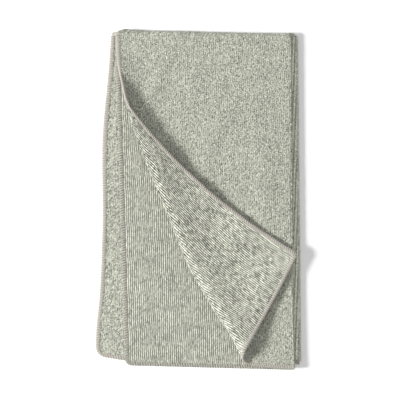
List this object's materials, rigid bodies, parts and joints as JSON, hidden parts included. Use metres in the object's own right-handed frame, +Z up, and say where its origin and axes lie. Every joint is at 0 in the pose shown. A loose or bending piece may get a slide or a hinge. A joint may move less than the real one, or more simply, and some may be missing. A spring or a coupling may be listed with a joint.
{
  "type": "golf towel",
  "caption": "Ribbed-back terry golf towel folded in half along its length and across it, with a bottom corner of the top leaf rolled back over the leaf to show the ribbed reverse.",
  "frame": {"origin": "under the middle of the folded towel's box, on the surface that it lies on", "axes": "+Z up through the four plies, +Y along the towel's length towards the cross fold, +X across its width towards the long folds"},
  "size_m": [0.23, 0.3806, 0.0253],
  "materials": {
    "cloth": "grey-green terry pile on one face and fine lengthwise ribs on the other",
    "edging": "overlocked edging thread, a shade warmer than the cloth, with a slight sheen"
  },
  "bodies": {
    "back_half": {"back_under_panel": "cloth", "back_under_side_hem": "edging", "back_under_end_hem": "edging", "back_over_panel": "cloth", "back_over_side_hem": "edging", "back_over_end_hem": "edging", "back_long_fold": "cloth", "cross_fold_inner": "cloth", "cross_fold_outer": "cloth"},
    "front_half": {"front_under_panel": "cloth", "front_under_side_hem": "edging", "front_under_end_hem": "edging", "front_over_panel": "cloth", "front_over_side_hem": "edging", "front_over_end_hem": "edging", "front_long_fold": "cloth", "corner_roll": "cloth"},
    "turned_corner": {"corner_panel": "cloth", "corner_side_hem": "edging", "corner_end_hem": "edging"}
  },
  "joints": [
    {"name": "cross_fold", "type": "hinge", "parent": "back_half", "child": "front_half", "pos_m": [0, 0.18868, 0.00565], "axis": [-1, 0, 0], "range_deg": [0, 165], "deforming": ["cross_fold_inner", "cross_fold_outer"]},
    {"name": "corner_fold", "type": "hinge", "parent": "front_half", "child": "turned_corner", "pos_m": [-0.10021, 0.14628, 0.017], "axis": [0.3991, -0.9169, 0], "range_deg": [0, 175], "deforming": ["corner_roll"]}
  ]
}
